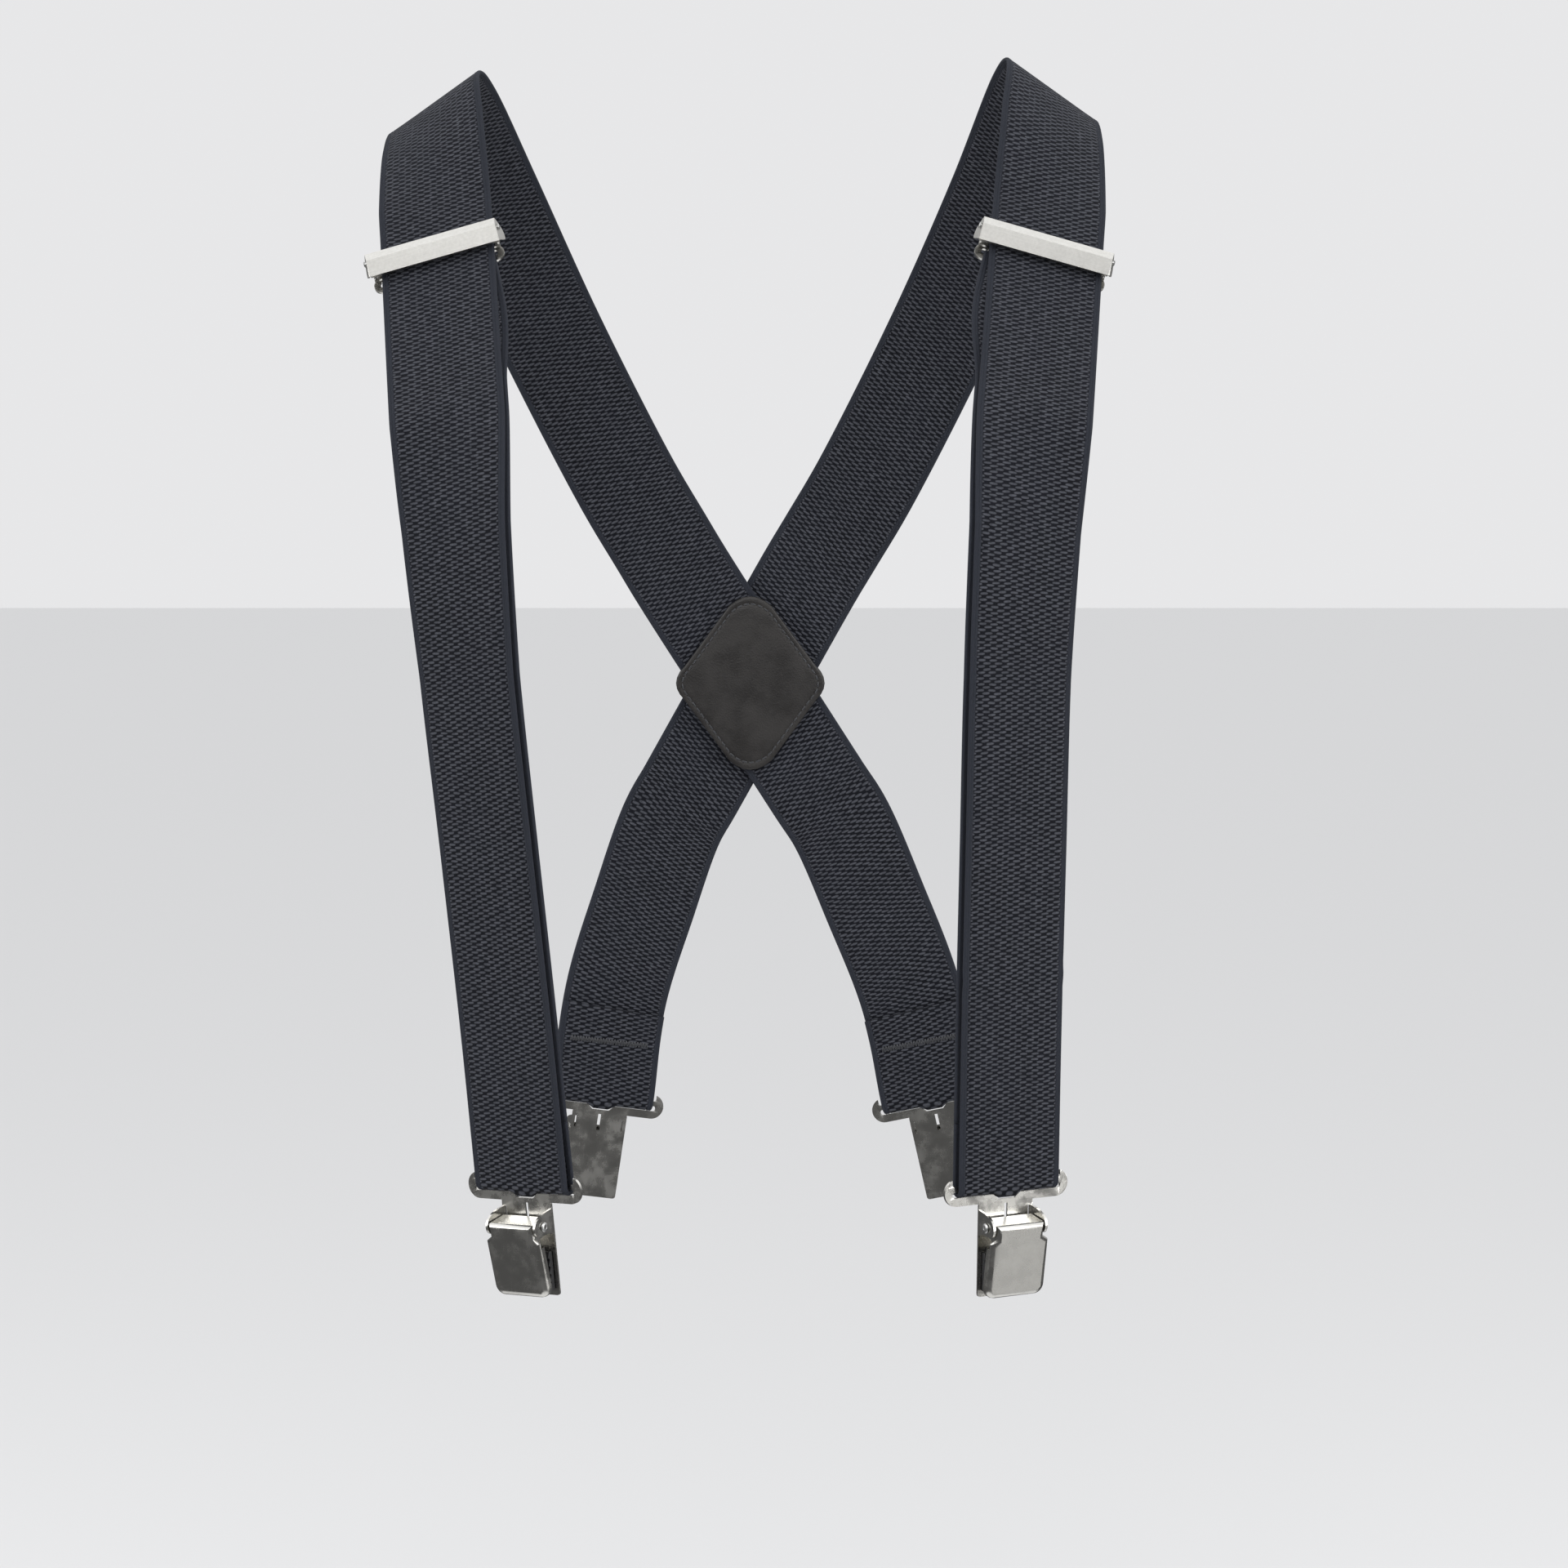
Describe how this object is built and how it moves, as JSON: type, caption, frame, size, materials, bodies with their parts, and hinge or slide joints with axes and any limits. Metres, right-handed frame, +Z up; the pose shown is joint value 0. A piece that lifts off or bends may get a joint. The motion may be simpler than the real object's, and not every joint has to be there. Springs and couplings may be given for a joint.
{
  "type": "clip-on suspenders",
  "caption": "Wide elastic suspenders with a crossed back, slide adjusters with hinged covers, and lever clips that swing from rings and grip a waistband.",
  "frame": {"origin": "midway between the two places where the straps cross the wearer's shoulders", "axes": "+Z up, -Y towards the wearer's front, +X towards the wearer's left"},
  "size_m": [0.2853, 0.2501, 0.4719],
  "materials": {
    "nickel": "polished nickel plate",
    "cover_nickel": "lengthwise brushed nickel plate",
    "rivet_steel": "plain plated steel",
    "elastic": "woven elastic with raised dashes and ridged selvages",
    "thread": "close bar-tack stitching",
    "leather": "smooth black leather",
    "grip_plastic": "moulded matte plastic"
  },
  "bodies": {
    "straps": {"left_strap": "elastic", "left_return_run": "elastic", "left_rear_tack": "thread", "right_strap": "elastic", "right_return_run": "elastic", "right_rear_tack": "thread", "back_patch_outer": "leather", "back_patch_inner": "leather"},
    "left_adjuster": {"left_adjuster_frame": "nickel", "left_adjuster_pin_a": "rivet_steel", "left_adjuster_pin_b": "rivet_steel", "left_adjuster_tack": "thread"},
    "left_cover": {"left_adjuster_cover": "cover_nickel"},
    "left_front_clip": {"left_front_clip_body": "nickel", "left_front_jaw_pad": "grip_plastic", "left_front_rivet_a": "rivet_steel", "left_front_rivet_b": "rivet_steel"},
    "left_front_jaw": {"left_front_lever": "nickel", "left_front_lever_pad": "grip_plastic"},
    "left_rear_clip": {"left_rear_clip_body": "nickel", "left_rear_jaw_pad": "grip_plastic", "left_rear_rivet_a": "rivet_steel", "left_rear_rivet_b": "rivet_steel"},
    "left_rear_jaw": {"left_rear_lever": "nickel", "left_rear_lever_pad": "grip_plastic"},
    "right_adjuster": {"right_adjuster_frame": "nickel", "right_adjuster_pin_a": "rivet_steel", "right_adjuster_pin_b": "rivet_steel", "right_adjuster_tack": "thread"},
    "right_cover": {"right_adjuster_cover": "cover_nickel"},
    "right_front_clip": {"right_front_clip_body": "nickel", "right_front_jaw_pad": "grip_plastic", "right_front_rivet_a": "rivet_steel", "right_front_rivet_b": "rivet_steel"},
    "right_front_jaw": {"right_front_lever": "nickel", "right_front_lever_pad": "grip_plastic"},
    "right_rear_clip": {"right_rear_clip_body": "nickel", "right_rear_jaw_pad": "grip_plastic", "right_rear_rivet_a": "rivet_steel", "right_rear_rivet_b": "rivet_steel"},
    "right_rear_jaw": {"right_rear_lever": "nickel", "right_rear_lever_pad": "grip_plastic"}
  },
  "joints": [
    {"name": "left_adjuster_slide", "type": "slide", "parent": "straps", "child": "left_adjuster", "axis": [-0.086, -0.5667, -0.8195], "range_m": [0, 0.03], "deforming": ["left_return_run"]},
    {"name": "left_cover_hinge", "type": "hinge", "parent": "left_adjuster", "child": "left_cover", "pos_m": [0.11573, -0.0591, -0.05402], "axis": [-0.9621, -0.004, 0.2726], "range_deg": [0, 100]},
    {"name": "left_front_clip_swing", "type": "hinge", "parent": "straps", "child": "left_front_clip", "pos_m": [0.09949, -0.10416, -0.40682], "axis": [-0.8776, -0.4794, -0.0068], "range_deg": [-45, 90]},
    {"name": "left_front_lever_hinge", "type": "hinge", "parent": "left_front_clip", "child": "left_front_jaw", "pos_m": [0.10211, -0.10874, -0.42152], "axis": [-0.8776, -0.4794, -0.0068], "range_deg": [0, 100]},
    {"name": "left_rear_clip_swing", "type": "hinge", "parent": "straps", "child": "left_rear_clip", "pos_m": [-0.06104, 0.09998, -0.40685], "axis": [0.9527, 0.258, -0.1604], "range_deg": [-45, 90]},
    {"name": "left_rear_lever_hinge", "type": "hinge", "parent": "left_rear_clip", "child": "left_rear_jaw", "pos_m": [-0.06473, 0.10461, -0.4213], "axis": [0.9527, 0.258, -0.1604], "range_deg": [0, 100]},
    {"name": "right_adjuster_slide", "type": "slide", "parent": "straps", "child": "right_adjuster", "axis": [0.086, -0.5667, -0.8195], "range_m": [0, 0.03], "deforming": ["right_return_run"]},
    {"name": "right_cover_hinge", "type": "hinge", "parent": "right_adjuster", "child": "right_cover", "pos_m": [-0.11765, -0.05909, -0.05457], "axis": [-0.9621, 0.004, -0.2726], "range_deg": [0, 100]},
    {"name": "right_front_clip_swing", "type": "hinge", "parent": "straps", "child": "right_front_clip", "pos_m": [-0.0815, -0.10429, -0.40673], "axis": [-0.8155, 0.5762, -0.0535], "range_deg": [-45, 90]},
    {"name": "right_front_lever_hinge", "type": "hinge", "parent": "right_front_clip", "child": "right_front_jaw", "pos_m": [-0.08351, -0.10851, -0.42163], "axis": [-0.8155, 0.5762, -0.0535], "range_deg": [0, 100]},
    {"name": "right_rear_clip_swing", "type": "hinge", "parent": "straps", "child": "right_rear_clip", "pos_m": [0.07885, 0.09997, -0.40689], "axis": [0.9391, -0.2543, 0.2311], "range_deg": [-45, 90]},
    {"name": "right_rear_lever_hinge", "type": "hinge", "parent": "right_rear_clip", "child": "right_rear_jaw", "pos_m": [0.08359, 0.10463, -0.42102], "axis": [0.9391, -0.2543, 0.2311], "range_deg": [0, 100]}
  ]
}
